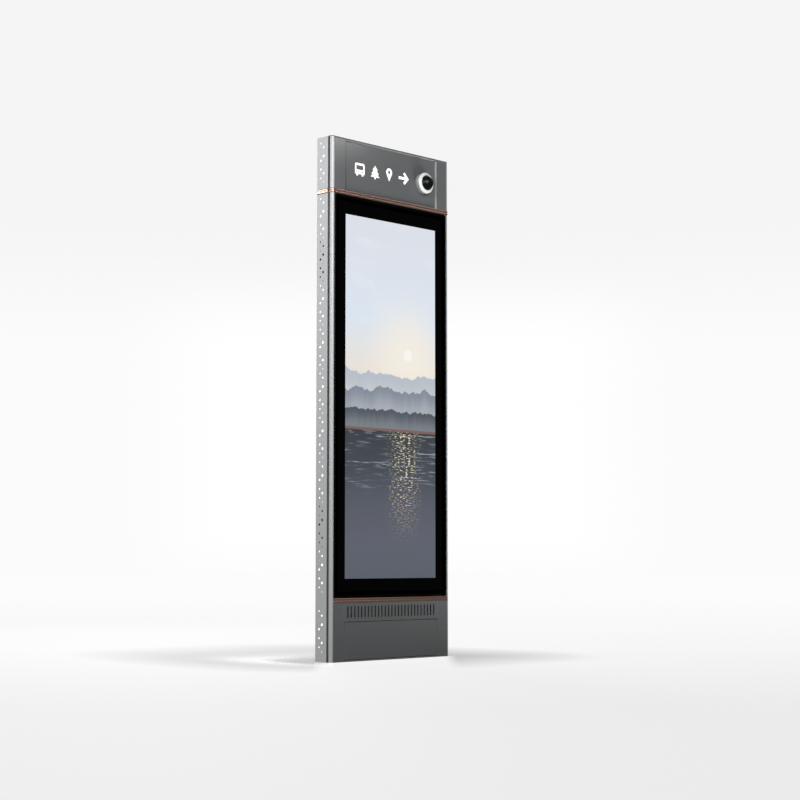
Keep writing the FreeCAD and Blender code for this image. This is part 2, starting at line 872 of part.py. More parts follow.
pieces = [
    base_plate(),
    cross_rail("lower_rail", "lower_rail_bottom"),
    cross_rail("header_rail", header_rail_bottom),
    top_rail(),
    top_cap(),
    header_panel(),
    upper_trim_front(),
    upper_trim_rear(),
    lower_trim(),
    vent_panel(),
    back_panel("back_panel_lower", "0", joint_height),
    back_panel("back_panel_upper", joint_height, cap_underside),
    camera_housing(),
    camera_ring(),
    camera_dome(),
    screen_pins(),
    service_pins(),
    service_door(),
    screen_door_frame(),
    screen_glass(),
    display_panel(),
    display_rails(),
]
for name, sign in SIDES:
    pieces += [
        frame_post(f"{name}_frame_post", sign),
        corner_column(f"{name}_corner_column", sign),
        dark_channel(f"{name}_dark_channel", sign),
        side_panel_lower(f"{name}_side_panel_lower", sign),
        side_panel_upper(f"{name}_side_panel_upper", sign),
        side_lights(f"{name}_side_lights", sign),
        end_cap(f"{name}_end_cap", sign),
        folded_strip(f"{name}_header_strip", sign, rail_top_high, cap_underside, header_back),
        folded_strip(f"{name}_base_strip", sign, "base_thickness", "lower_rail_bottom", fold_back),
    ]

document.recompute()
for thing in document.Objects:
    if "Invalid" in thing.State or "Error" in thing.State:
        raise RuntimeError(f"{thing.Label} failed: {thing.State}")
for piece in pieces:
    if piece.Shape.isNull() or not piece.Shape.isValid():
        raise RuntimeError(f"{piece.Label} has no valid shape")
    print(f"{piece.Label}: {len(piece.Shape.Solids)} solid(s), {piece.Shape.Volume / 1000:.1f} cm3")
for piece in pieces:
    piece.Shape.exportStep(f"parts/{piece.Label}.step")
print(f"{len(pieces)} nodes written")
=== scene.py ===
import math

import bmesh
import bpy
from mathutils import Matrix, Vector


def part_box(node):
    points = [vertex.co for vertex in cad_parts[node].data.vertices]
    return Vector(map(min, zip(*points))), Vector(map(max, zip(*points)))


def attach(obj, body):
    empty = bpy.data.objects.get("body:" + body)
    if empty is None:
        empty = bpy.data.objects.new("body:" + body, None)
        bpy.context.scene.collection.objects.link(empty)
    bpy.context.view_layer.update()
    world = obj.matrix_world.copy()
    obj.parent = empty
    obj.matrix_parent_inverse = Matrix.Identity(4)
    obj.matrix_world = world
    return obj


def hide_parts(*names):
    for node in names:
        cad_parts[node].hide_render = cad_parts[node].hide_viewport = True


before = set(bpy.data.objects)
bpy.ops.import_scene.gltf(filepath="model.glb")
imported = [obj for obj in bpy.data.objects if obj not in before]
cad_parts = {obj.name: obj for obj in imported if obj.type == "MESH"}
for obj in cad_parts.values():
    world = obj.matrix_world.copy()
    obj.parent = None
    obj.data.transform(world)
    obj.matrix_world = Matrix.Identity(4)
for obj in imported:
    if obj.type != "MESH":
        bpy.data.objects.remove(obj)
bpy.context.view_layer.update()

# Camera
# A long lens stands low, off the cabinet's left front corner, and looks up a little.
view_lens = 80.0
view_place = (-6.921, -6.8214, 0.5421)
view_turn_right = math.radians(45.926)
view_tilt_up = math.radians(5.095)

lens = bpy.data.cameras.new("view")
lens.lens = view_lens
lens.sensor_width = 36.0
viewer = bpy.data.objects.new("view", lens)
viewer.location = view_place
viewer.rotation_euler = (math.pi / 2 + view_tilt_up, 0.0, -view_turn_right)
bpy.context.scene.collection.objects.link(viewer)
bpy.context.scene.camera = viewer
bpy.context.scene.view_settings.view_transform = "Standard"

# Steel frame
# Posts and rails of square tube stand on a thick base plate and are welded to it. They
# carry all the panels. Frame, plate and the bars behind the display have a matt primer.


class Wire:
    """A socket in a material. Arithmetic on it adds Math nodes; node() adds any other node."""

    def __init__(self, tree, socket=None):
        self.tree = tree
        self.socket = socket

    def node(self, kind, settings=None, sockets=None, output=0):
        made = self.tree.nodes.new(kind)
        for name, value in (settings or {}).items():
            if name == "stops":
                while len(made.color_ramp.elements) < len(value):
                    made.color_ramp.elements.new(0.5)
                for stop, (position, colour) in zip(made.color_ramp.elements, value):
                    stop.position = position
                    stop.color = (*colour, 1.0)
            else:
                setattr(made, name, value)
        for name, value in (sockets or {}).items():
            if isinstance(value, Wire):
                self.tree.links.new(value.socket, made.inputs[name])
            else:
                made.inputs[name].default_value = value
        return Wire(self.tree, made.outputs[output])

    def maths(self, operation, first, second=0.0):
        return self.node("ShaderNodeMath", {"operation": operation}, {0: first, 1: second})

    def __add__(self, other):
        return self.maths("ADD", self, other)

    def __sub__(self, other):
        return self.maths("SUBTRACT", self, other)

    def __mul__(self, other):
        return self.maths("MULTIPLY", self, other)

    def __truediv__(self, other):
        return self.maths("DIVIDE", self, other)

    def __rsub__(self, other):
        return self.maths("SUBTRACT", other, self)

    def __rtruediv__(self, other):
        return self.maths("DIVIDE", other, self)

    __radd__ = __add__
    __rmul__ = __mul__

    def __abs__(self):
        return self.maths("ABSOLUTE", self)

    def above(self, other):
        """One where this is greater than the other, else nought."""
        return self.maths("GREATER_THAN", self, other)

    def below(self, other):
        return self.maths("LESS_THAN", self, other)

    def most(self, other):
        return self.maths("MAXIMUM", self, other)

    def root(self):
        return self.maths("SQRT", self)

    def ramp(self, low, high, start=0.0, end=1.0):
        """Go smoothly from start to end while this goes from low to high."""
        sockets = {"Value": self, "From Min": low, "From Max": high, "To Min": start, "To Max": end}
        return self.node("ShaderNodeMapRange", {"interpolation_type": "SMOOTHSTEP"}, sockets)

    def between(self, first, second):
        """Mix two colours by this."""
        tints = [(*tint, 1.0) if isinstance(tint, tuple) else tint for tint in (first, second)]
        return self.node(
            "ShaderNodeMix", {"data_type": "RGBA"}, {0: self, 6: tints[0], 7: tints[1]}, 2
        )

    def along(self, axis):
        return self.node("ShaderNodeSeparateXYZ", None, {0: self}, "XYZ".index(axis))

    def times(self, factors):
        """Scale a place along each axis."""
        settings = {"operation": "MULTIPLY"}
        return self.node("ShaderNodeVectorMath", settings, {0: self, 1: factors})

    def moved(self, shift):
        """Shift a place along each axis."""
        return self.node("ShaderNodeVectorMath", {"operation": "ADD"}, {0: self, 1: shift})

    def noise(self, scale, detail=2.0, roughness=0.5):
        sockets = {"Vector": self, "Scale": scale, "Detail": detail, "Roughness": roughness}
        return self.node("ShaderNodeTexNoise", None, sockets)

    def bumps(self, depth, strength=1.0):
        """Turn heights into a surface direction; depth is in metres."""
        sockets = {"Height": self, "Distance": depth, "Strength": strength}
        return self.node("ShaderNodeBump", None, sockets)


def new_finish(name):
    """A fresh material, its shader, and the place on the piece in metres as a wire."""
    made = bpy.data.materials.new(name)
    made.use_nodes = True
    tree = made.node_tree
    return made, tree.nodes["Principled BSDF"], Wire(tree).node("ShaderNodeTexCoord", output=3)


def feed(shader, **inputs):
    """Set or link the shader's inputs; an underscore stands for a space."""
    for name, value in inputs.items():
        socket = shader.inputs[name.replace("_", " ")]
        if isinstance(value, Wire):
            value.tree.links.new(value.socket, socket)
        elif isinstance(value, tuple) and len(socket.default_value) == 4:
            socket.default_value = (*value, 1.0)
        else:
            socket.default_value = value


def dress(finish, *nodes):
    """Give nodes of the frame a finish."""
    for name in nodes:
        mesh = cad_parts[name].data
        mesh.materials.clear()
        mesh.materials.append(finish)


primer, shader, place = new_finish("steel_primer")
patch = place.noise(14.0, 3.0)
feed(
    shader, Base_Color=patch.between((0.10, 0.105, 0.11), (0.15, 0.155, 0.16)),
    Roughness=patch.ramp(0.3, 0.7, 0.5, 0.65),
)
dress(
    primer, "lower_rail", "header_rail", "top_rail", "left_frame_post", "right_frame_post",
    "display_rails", "base_plate",
)

# Dark channels
# Dark anodised aluminium strips close the groove between each corner column and the
# side panel next to it. They are fixed to the posts from inside.
black_strip, shader, place = new_finish("dark_anodised")
feed(
    shader, Base_Color=(0.12, 0.121, 0.122), Metallic=0.3,
    Roughness=place.noise(60.0).ramp(0.3, 0.7, 0.45, 0.6),
)
dress(black_strip, "left_dark_channel", "right_dark_channel")

# Corner columns
# Extruded aluminium with a round front corner and a satin anodised skin; the die leaves
# fine lines up the length. They run from the base plate to the cap.
satin, shader, place = new_finish("satin_aluminium")
lines = place.times((2400.0, 2400.0, 3.0)).noise(1.0, 1.0)
feed(
    shader, Base_Color=lines.between((0.40, 0.405, 0.41), (0.45, 0.455, 0.46)), Metallic=0.40,
    Roughness=lines.ramp(0.3, 0.7, 0.42, 0.48), Normal=lines.bumps(0.00002, 0.2),
)
dress(satin, "left_corner_column", "right_corner_column")

# Side panels
# Folded sheet with a silver powder coat. Ten sizes of round holes are punched through
# the flat in two columns, group after group; a trim hides the joint of two lengths.
lip_x = 0.445
side_x = 0.4575
sheet = 0.003
groove_y = -0.026
back_y = 0.060
inner_x = 0.4405
front_bend = 0.0015
back_bend = 0.005
panel_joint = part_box("left_side_panel_lower")[1].z
panel_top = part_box("left_side_panel_upper")[1].z
hole_columns = (0.030, 0.0086)
hole_widths = (0.010, 0.012, 0.0055, 0.015, 0.013, 0.0046, 0.0115, 0.0135, 0.010, 0.0075)
group_tops = [2.4659 - 0.2358 * group for group in range(9)] + [0.2672]
hole_step = 0.02358
head_top = 2.767
head_step = 0.02348
hole_sides = 24

silver, shader, place = new_finish("silver_coat")
flake = place.noise(1500.0, 1.0)
# Painted shade: the side panel's lip inside the groove is coloured dark grey where the groove
# shades it.
painted_groove_shade = place.along("Y").ramp(groove_y + 0.0005, groove_y + 0.0001)
coat = flake.between((0.40, 0.405, 0.41), (0.46, 0.465, 0.47))
feed(
    shader, Base_Color=painted_groove_shade.between(coat, (0.14, 0.14, 0.14)), Metallic=0.12,
    Roughness=0.46, Normal=flake.bumps(0.00006, 0.3),
)
dress(silver, "left_end_cap", "right_end_cap")


def arc(centre, radius, start, end, steps=6):
    """Points on an arc in plan; the angles are in degrees."""
    turns = [math.radians(start + (end - start) * step / steps) for step in range(steps + 1)]
    return [(centre[0] + radius * math.cos(t), centre[1] + radius * math.sin(t)) for t in turns]


def new_piece(name, form, finish, body, smooth=False):
    """Put a finished mesh into the scene on one of the bodies."""
    mesh = bpy.data.meshes.new(name)
    form.to_mesh(mesh)
    form.free()
    for face in mesh.polygons:
        face.use_smooth = smooth
    mesh.materials.append(finish)
    piece = bpy.data.objects.new(name, mesh)
    bpy.context.scene.collection.objects.link(piece)
    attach(piece, body)
    return piece


def side_panel(name, node, sign, low, high, tops, step):
    """One length of side panel; tops are the heights of the first hole of each group."""
    section = [(lip_x, groove_y)]
    section += arc((side_x - front_bend, groove_y + front_bend), front_bend, -90, 0, 3)
    flat_start = len(section) - 1
    section += arc((side_x - back_bend, back_y - back_bend), back_bend, 0, 90)
    section += [(inner_x, back_y), (inner_x, back_y - sheet)]
    section += arc((side_x - back_bend, back_y - back_bend), back_bend - sheet, 90, 0)
    inner_start = len(section) - 1
    section += [(side_x - sheet, groove_y + sheet), (lip_x, groove_y + sheet)]
    form = bmesh.new()
    rings = [[form.verts.new((sign * x, y, z)) for x, y in section] for z in (low, high)]
    form.faces.new(rings[0])
    form.faces.new(rings[1])
    count = len(section)
    pierced = []
    for side in range(count):
        corners = [
            rings[0][side], rings[0][(side + 1) % count],
            rings[1][(side + 1) % count], rings[1][side],
        ]
        if side in (flat_start, inner_start):
            edges = []
            for first, second in zip(corners, corners[1:] + corners[:1]):
                edges.append(form.edges.get((first, second)) or form.edges.new((first, second)))
            pierced.append((corners[0].co.x, edges))
        else:
            form.faces.new(corners)
    holes = []
    for top in tops:
        for place_in_group, width in enumerate(hole_widths):
            centre = (hole_columns[place_in_group % 2], top - step * place_in_group)
            holes.append(arc(centre, width / 2, 0, 360, hole_sides)[:-1])
    loops = []
    for x, edges in pierced:
        drawn = [[form.verts.new((x, y, z)) for y, z in hole] for hole in holes]
        for loop in drawn:
            edges += [form.edges.new(pair) for pair in zip(loop, loop[1:] + loop[:1])]
        loops.append(drawn)
        bmesh.ops.triangle_fill(form, edges=edges, use_beauty=True, normal=(sign, 0.0, 0.0))
    for outer, inner in zip(*loops):
        for corner in range(hole_sides):
            after = (corner + 1) % hole_sides
            form.faces.new((outer[corner], outer[after], inner[after], inner[corner]))
    bmesh.ops.recalc_face_normals(form, faces=form.faces)
    piece = new_piece(name, form, silver, "cabinet")
    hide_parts(node)


for side_name, sign in (("left", -1), ("right", 1)):
    side_panel(
        f"{side_name}_pierced_side", f"{side_name}_side_panel_lower", sign,
        0.0, panel_joint, group_tops, hole_step,
    )
    side_panel(
        f"{side_name}_pierced_head", f"{side_name}_side_panel_upper", sign,
        panel_joint, panel_top, [head_top], head_step,
    )

# Light strips
# Milky acrylic sheets stand behind the groups of holes, lit from behind. Where a bracket
# interrupts them the holes stay dark.
milky, shader, place = new_finish("milky_acrylic")
feed(
    shader, Base_Color=(0.85, 0.86, 0.88), Roughness=0.5, Emission_Strength=0.85,
    Emission_Color=place.noise(9.0).between((0.93, 0.96, 1.0), (1.0, 1.0, 1.0)),
)
dress(milky, "left_side_lights", "right_side_lights")

# Bead trims
# Copper-coloured anodised strips with two round beads, bent round the corners and held
# from behind, over the joints of the panels.
copper, shader, place = new_finish("copper_anodised")
grain = place.noise(25.0, 1.0)
feed(
    shader, Base_Color=grain.between((0.74, 0.46, 0.37), (0.76, 0.48, 0.39)), Metallic=1.0,
    Roughness=grain.ramp(0.3, 0.7, 0.24, 0.27),
)
dress(copper, "upper_trim_front", "upper_trim_rear", "lower_trim")

# Grey sheet metal
# Header, base, service door and back are folded steel sheets in a fine dark grey powder
# coat, smooth enough to mirror what stands close. The wall of the fold at the header's
# right-hand step has a painted highlight, and the folds of the base have a faint painted
# highlight. A thin painted shadow lies on the header beside its left-hand step, and a band
# painted light lies on the header just under the lid, where the lid shades it.
grey_dark = (0.101, 0.104, 0.106)
grey_light = (0.111, 0.114, 0.116)
# Tints of the painted highlights at the header's step and the base's folds, of the painted shadow
# by the left step, and of the painted light under the lid.
step_highlight_tint = (0.44, 0.44, 0.45)
seam_highlight_tint = (0.22, 0.22, 0.23)
step_shadow_tint = (0.050, 0.052, 0.054)
lid_band_light_tint = (0.20, 0.205, 0.21)
bay_half = 0.360
base_top = 0.306
head_low = 2.50
step_shadow_x = -0.3435
lid_line = 2.785

grey_coat, shader, place = new_finish("grey_coat")
cloud = place.noise(3.0)
front = place.along("Y").ramp(0.0, -0.01)
in_base = place.along("Z").ramp(base_top + 0.006, base_top) * front
in_head = place.along("Z").ramp(head_low, head_low + 0.02) * front
# Painted highlight: a faint light line along the folds at both ends of the base.
seam_highlight = abs(abs(place.along("X")) - bay_half).ramp(0.0014, 0.0004) * in_base
# Painted highlight: the wall of the fold at the header's right-hand step is coloured pale, as if
# lit from the left.
step_wall_highlight = abs(place.along("X") - bay_half).ramp(0.0006, 0.0002) * in_head
# Painted shadow: a thin dark line on the header panel beside its left-hand step, where the step
# shades it.
step_shadow = abs(place.along("X") - step_shadow_x).ramp(0.0035, 0.0020) * in_head
# Painted light: a lighter band on the header in the bay just under the lid, where the lid shades
# it.
painted_light_under_lid = place.along("Z").ramp(lid_line, lid_line + 0.0025) * front
painted_light_under_lid = painted_light_under_lid * abs(place.along("X")).ramp(bay_half, bay_half - 0.001)
coat = (seam_highlight * 0.6).between(cloud.between(grey_dark, grey_light), seam_highlight_tint)
coat = painted_light_under_lid.between(step_shadow.between(coat, step_shadow_tint), lid_band_light_tint)
feed(
    shader, Specular_IOR_Level=0.45, Base_Color=step_wall_highlight.between(coat, step_highlight_tint),
    Roughness=cloud.ramp(0.3, 0.7, 0.22, 0.25), Normal=place.noise(700.0).bumps(0.00006, 0.2),
)
dress(
    grey_coat, "header_panel", "left_header_strip", "right_header_strip", "vent_panel",
    "service_door", "left_base_strip", "right_base_strip", "back_panel_lower",
    "back_panel_upper",
)

# Top cap
# The lid over the header is a thicker sheet in a darker coat, with a rounded edge. Its
# underside is painted light, a pale grey that lifts the shade there. It drops over the frame
# from above.
lid_dark = (0.050, 0.051, 0.053)
lid_grey = (0.11, 0.113, 0.115)
underside_painted_light = (0.50, 0.505, 0.51)
edge_start = 2.796
lid_underside = 2.7901

lid_coat, shader, place = new_finish("lid_coat")
face = place.along("Z").ramp(edge_start + 0.0005, edge_start)
# Painted light: the lid's underside is pale grey where it lies in shade.
underside_light_mask = place.along("Z").ramp(lid_underside + 0.0002, lid_underside)
coat = face.between(lid_dark, lid_grey)
feed(
    shader, Base_Color=underside_light_mask.between(coat, underside_painted_light),
    Roughness=place.noise(40.0).ramp(0.3, 0.7, 0.36, 0.46),
    Normal=place.noise(700.0).bumps(0.0001, 0.3),
)
dress(lid_coat, "top_cap")

# Screen door frame
# A ring of folded steel round the glass, with a satin black coat. It hangs on hidden
# pivots at its left edge.
door_black, shader, place = new_finish("door_black")
feed(
    shader, Base_Color=(0.0008, 0.0008, 0.0009), Specular_IOR_Level=0.05,
    Roughness=place.noise(50.0).ramp(0.3, 0.7, 0.35, 0.45),
)
dress(door_black, "screen_door_frame")

# Screen glass
# Toughened glass, bonded into the door frame. Its back is printed black all round the
# picture and clear in front of it.
picture_half = 0.351
picture_low = 0.4358
picture_high = 2.3875
glass_middle = (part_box("screen_glass")[0].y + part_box("screen_glass")[1].y) / 2

printed, shader, place = new_finish("printed_glass")
outside = abs(place.along("X")).above(picture_half).most(
    abs(place.along("Z") - (picture_low + picture_high) / 2).above(
        (picture_high - picture_low) / 2
    )
)
border = outside * place.along("Y").above(glass_middle)
feed(
    shader, Base_Color=(0.0006, 0.0006, 0.0007), Roughness=0.05, Specular_IOR_Level=0.06,
    Alpha=border * 0.96 + 0.04,
)
dress(printed, "screen_glass")

# Display
# The lit picture behind the glass: hills over a still lake at first light, in pale blue,
# cream and slate. The module round it is black sheet steel.
shore = 1.238
sun = (0.13, 1.66)
lit_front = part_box("display_panel")[0].y + 0.0006

lit_picture, shader, place = new_finish("lit_picture")
across = place.along("X")
up = place.along("Z")
share = (up - picture_low) / (picture_high - picture_low)
colour = share.node(
    "ShaderNodeValToRGB",
    {"stops": [
        (0.42, (0.62, 0.60, 0.58)), (0.58, (0.86, 0.81, 0.74)), (0.72, (0.75, 0.83, 0.93)),
        (0.86, (0.76, 0.81, 0.89)), (1.0, (0.76, 0.79, 0.86)),
    ]},
    {"Fac": share},
)
veil = place.times((2.6, 0.0, 7.0)).noise(1.0, 4.0, 0.55)
cloud = veil.ramp(0.50, 0.78) * share.ramp(0.60, 0.74) * 0.5
colour = cloud.between(colour, (0.93, 0.93, 0.94))
sun_side = across - sun[0]
sun_rise = up - sun[1]
from_sun = (sun_side * sun_side + sun_rise * sun_rise).root()
colour = (from_sun.ramp(0.42, 0.02) * 0.75).between(colour, (1.0, 0.92, 0.80))
colour = from_sun.ramp(0.036, 0.028).between(colour, (1.0, 0.98, 0.92))
ridges = (
    (1.545, 0.30, 3.4, (0.50, 0.55, 0.62), (0.66, 0.66, 0.67)),
    (1.455, 0.26, 6.0, (0.24, 0.28, 0.34), (0.42, 0.45, 0.49)),
    (1.345, 0.14, 11.0, (0.085, 0.10, 0.125), (0.20, 0.225, 0.25)),
)
for row, (height, swing, scale, crest, foot) in enumerate(ridges):
    lie = place.times((1.0, 0.0, 0.0)).moved((row * 7.3, 0.0, 0.0))
    edge = lie.noise(scale, 5.0, 0.55) * swing + (height - swing / 2)
    mist = (edge - up).ramp(0.0, 0.16 - 0.03 * row)
    colour = (edge - up).ramp(-0.0015, 0.0015).between(colour, mist.between(crest, foot))
water = share.node(
    "ShaderNodeValToRGB",
    {"stops": [
        (0.0, (0.105, 0.120, 0.150)), (0.10, (0.115, 0.125, 0.160)), (0.20, (0.100, 0.110, 0.140)),
        (0.30, (0.060, 0.072, 0.090)), (0.41, (0.038, 0.048, 0.056)),
    ]},
    {"Fac": share},
)
ripple = place.times((7.0, 0.0, 95.0)).noise(1.0, 3.0, 0.6)
swell = place.times((3.0, 0.0, 30.0)).noise(1.0, 2.0)
crests = ripple.ramp(0.52, 0.66) * swell.ramp(0.40, 0.62) * share.ramp(0.22, 0.30) * 0.8
water = crests.between(water, (0.42, 0.47, 0.52))
path = abs(across - sun[0] + 0.05 * swell).ramp(0.16, 0.01) * share.ramp(0.08, 0.30)
glint = place.times((46.0, 0.0, 170.0)).noise(1.0, 2.0).ramp(0.56, 0.62)
water = (path * glint).between(water, (0.95, 0.80, 0.52))
colour = (shore - up).ramp(-0.0008, 0.0008).between(colour, water)
bank = abs(up - shore - 0.002 * veil).ramp(0.008, 0.0055)
colour = bank.between(colour, (0.215, 0.125, 0.110))
lit = place.along("Y").below(lit_front)
feed(
    shader, Base_Color=(0.012, 0.012, 0.013), Roughness=0.3, Specular_IOR_Level=0.1,
    Emission_Color=lit.between((0.0, 0.0, 0.0), colour), Emission_Strength=1.0,
)
dress(lit_picture, "display_panel")

# Hinge pins
# The doors' pivots are short turned pins of steel with a black oxide skin, pressed into
# the doors' edges.
black_oxide, shader, place = new_finish("black_oxide")
turning = place.times((1.0, 1.0, 4000.0)).noise(1.0)
feed(
    shader, Base_Color=(0.020, 0.020, 0.021), Metallic=0.4,
    Roughness=turning.ramp(0.3, 0.7, 0.35, 0.45),
)
dress(black_oxide, "screen_pins", "service_pins")

# Header signs
# Four plain white signs, cut from sheet and glued to the header in a row. Their white has a
# painted glow, though no lamp is in them.
sign_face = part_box("header_panel")[0].y
sign_thickness = 0.0015
pin_mark = [
    arc((0.0, 0.014), 0.0225, 205, -25, 28) + [(0.0, -0.036)],
    arc((0.0, 0.014), 0.0100, 0, 360, 24)[:-1],
]
bus_mark = [
    arc((0.026, 0.026), 0.010, 0, 90) + arc((-0.026, 0.026), 0.010, 90, 180)
    + [(-0.036, -0.024), (-0.026, -0.024), (-0.026, -0.034), (-0.015, -0.034), (-0.015, -0.024)]
    + [(0.015, -0.024), (0.015, -0.034), (0.026, -0.034), (0.026, -0.024), (0.036, -0.024)],
    [(-0.027, 0.024), (0.027, 0.024), (0.027, 0.000), (-0.027, 0.000)],
    arc((-0.022, -0.012), 0.0048, 0, 360, 16)[:-1],
    arc((0.022, -0.012), 0.0048, 0, 360, 16)[:-1],
]
tree_mark = [
    [(0.0, 0.037), (0.020, 0.012), (0.011, 0.012), (0.028, -0.010), (0.015, -0.010),
     (0.035, -0.026), (0.0045, -0.026), (0.0045, -0.037), (-0.0045, -0.037),
     (-0.0045, -0.026), (-0.035, -0.026), (-0.015, -0.010), (-0.028, -0.010),
     (-0.011, 0.012), (-0.020, 0.012)],
]
arrow_mark = [
    [(-0.040, 0.0075), (0.012, 0.0075), (-0.004, 0.0245), (0.0065, 0.0345), (0.040, 0.0),
     (0.0065, -0.0345), (-0.004, -0.0245), (0.012, -0.0075), (-0.040, -0.0075)],
]
signs = (
    (-0.2387, 2.6460, bus_mark), (-0.1208, 2.6495, tree_mark),
    (-0.0108, 2.6535, pin_mark), (0.1050, 2.6515, arrow_mark),
)

sign_white_painted_glow, shader, place = new_finish("sign_white_painted_glow")
# Painted glow: the white signs emit light though nothing lights them.
feed(
    shader, Base_Color=(0.86, 0.86, 0.86), Roughness=place.noise(80.0).ramp(0.3, 0.7, 0.45, 0.55),
    Emission_Color=(1.0, 1.0, 1.0), Emission_Strength=0.45,
)
form = bmesh.new()
for middle, height, mark in signs:
    edges = []
    for loop in mark:
        ring = [form.verts.new((middle + x, sign_face, height + z)) for x, z in loop]
        edges += [form.edges.new(pair) for pair in zip(ring, ring[1:] + ring[:1])]
    bmesh.ops.triangle_fill(form, edges=edges, use_beauty=True, normal=(0.0, -1.0, 0.0))
raised = bmesh.ops.extrude_face_region(form, geom=list(form.faces))
for vertex in raised["geom"]:
    if isinstance(vertex, bmesh.types.BMVert):
        vertex.co.y -= sign_thickness
bmesh.ops.recalc_face_normals(form, faces=form.faces)
new_piece("header_signs", form, sign_white_painted_glow, "cabinet")

# Dome camera
# A moulded barrel and a white ring with soft edges are screwed to the header from behind,
# and a smoked dome is pressed into the ring.
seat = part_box("camera_housing")
camera_x = (seat[0].x + seat[1].x) / 2
camera_z = (seat[0].z + seat[1].z) / 2
barrel_radius = (seat[1].x - seat[0].x) / 2
barrel_front = seat[1].y - seat[0].y
ring_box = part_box("camera_ring")
ring_radius = (ring_box[1].x - ring_box[0].x) / 2
ring_front = seat[1].y - ring_box[0].y
dome_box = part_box("camera_dome")
dome_radius = (dome_box[1].x - dome_box[0].x) / 2
dome_front = seat[1].y - dome_box[0].y
turn_steps = 96

white_shell, shader, place = new_finish("white_shell")
feed(
    shader, Base_Color=(0.74, 0.75, 0.75), Roughness=0.34,
    Normal=place.noise(1200.0).bumps(0.00005, 0.3),
)
grey_shell, shader, place = new_finish("grey_shell")
feed(
    shader, Base_Color=(0.42, 0.425, 0.43), Roughness=0.40,
    Normal=place.noise(1200.0).bumps(0.00005, 0.3),
)
smoked, shader, place = new_finish("smoked_dome")
feed(
    shader, Base_Color=(0.0025, 0.0025, 0.003), Specular_IOR_Level=0.30,
    Roughness=place.noise(30.0).ramp(0.3, 0.7, 0.32, 0.35),
)


def turned_piece(name, outline, finish, node):
    """Turn an outline of radii and distances from the header about the camera's axis."""
    form = bmesh.new()
    rings = []
    for radius, reach in outline:
        ring = []
        for step in range(turn_steps):
            turn = 2 * math.pi * step / turn_steps
            ring.append(form.verts.new((
                camera_x + radius * math.cos(turn), seat[1].y - reach,
                camera_z + radius * math.sin(turn),
            )))
        rings.append(ring)
    for first, second in zip(rings, rings[1:]):
        for step in range(turn_steps):
            after = (step + 1) % turn_steps
            form.faces.new((first[step], first[after], second[after], second[step]))
    form.faces.new(rings[0])
    form.faces.new(rings[-1])
    bmesh.ops.recalc_face_normals(form, faces=form.faces)
    piece = new_piece(name, form, finish, "cabinet", smooth=True)
    piece.data.set_sharp_from_angle(angle=math.radians(50))
    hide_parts(node)


turned_piece(
    "camera_barrel",
    [(barrel_radius - 0.001, 0.0), (barrel_radius, 0.001), (barrel_radius, 0.0225),
     (barrel_radius - 0.0015, 0.0232), (barrel_radius - 0.0015, barrel_front)],
    grey_shell, "camera_housing",
)
ring_side = 0.006
ring_inner = dome_radius + 0.0003
ring_outline = [(ring_inner, barrel_front), (ring_radius - 0.001, barrel_front)]
for centre, radius, start, end in (
    ((ring_radius - 0.001, barrel_front + 0.001), 0.001, -90, 0),
    ((ring_radius - 0.005, barrel_front + ring_side - 0.002), 0.005, 0, 58),
    ((ring_inner + 0.0035, ring_front - 0.0035), 0.0035, 58, 175),
):
    ring_outline += arc(centre, radius, start, end)
ring_outline += [(ring_inner, barrel_front + 0.001)]
turned_piece("camera_bezel", ring_outline, white_shell, "camera_ring")
dome_outline = [(dome_radius, barrel_front)]
dome_outline += arc((0.0, dome_front - dome_radius), dome_radius, 0, 88, 20)
turned_piece("smoked_cover", dome_outline, smoked, "camera_dome")

# Back screws
# Button-head steel screws, each with a small socket, hold the two back panels to the
# posts and the rails.
screw_radius = 0.0045
screw_rise = 0.0016
screw_profile = ((1.0, 0.0), (1.0, 0.4), (0.86, 0.75), (0.55, 1.0), (0.30, 1.0), (0.26, 0.45))
screw_across = (-0.4255, 0.4255)
screw_heights = [0.045 + 0.3002 * row for row in range(9)] + [2.545, 2.755]
screw_rows = (0.030, 2.4725, 2.532, 2.770)

screw_steel, shader, place = new_finish("screw_steel")
feed(
    shader, Base_Color=(0.32, 0.32, 0.33), Metallic=1.0,
    Roughness=place.noise(300.0).ramp(0.3, 0.7, 0.26, 0.36),
)
form = bmesh.new()
spots = [(x, z) for x in screw_across for z in screw_heights]
spots += [(x, z) for z in screw_rows for x in (-0.2, 0.0, 0.2)]
for x, z in spots:
    levels = []
    for width, reach in screw_profile:
        levels.append([
            form.verts.new((
                x + screw_radius * width * math.cos(turn), back_y + screw_rise * reach,
                z + screw_radius * width * math.sin(turn),
            ))
            for turn in (math.pi / 6 * step for step in range(12))
        ])
    for first, second in zip(levels, levels[1:]):
        for step in range(12):
            after = (step + 1) % 12
            form.faces.new((first[step], first[after], second[after], second[step]))
    form.faces.new(levels[0])
    form.faces.new(levels[-1])
bmesh.ops.recalc_face_normals(form, faces=form.faces)
new_piece("back_screws", form, screw_steel, "cabinet")

# Floor
# A pale studio floor that mirrors the foot a little, has a soft shade round it and grows
# lighter with distance.
floor_half = 40.0
foot_half = (0.4575, 0.060)
away_x = 0.718
away_y = 0.696
shade_reach = 0.85
shade_most = 0.46

